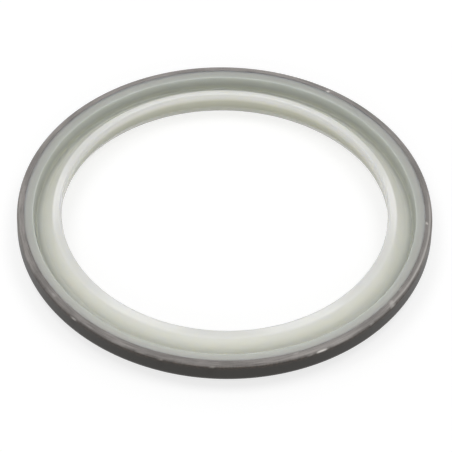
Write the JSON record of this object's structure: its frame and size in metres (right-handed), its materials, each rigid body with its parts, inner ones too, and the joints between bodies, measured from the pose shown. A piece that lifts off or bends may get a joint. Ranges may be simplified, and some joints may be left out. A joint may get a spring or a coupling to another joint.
{
  "type": "metal-cased wiper seal ring",
  "caption": "Pin joint wiper seal: a thin drawn steel case ring with a moulded polyurethane body whose angled lip wipes the pin and keeps dirt out.",
  "frame": {"origin": "on the seal's axis, at the heel's seat, which is the lowest face", "axes": "+Z along the axis, from the heel towards the wiping lip; X and Y lie in the plane of the ring"},
  "size_m": [0.1, 0.1, 0.008],
  "materials": {
    "case_steel": "dark phosphated sheet steel, worn brighter at the trimmed edge",
    "polyurethane": "milky translucent cast polyurethane, satin to glossy"
  },
  "bodies": {
    "root": {"steel_case": "case_steel", "wiper_body": "polyurethane"}
  },
  "joints": []
}
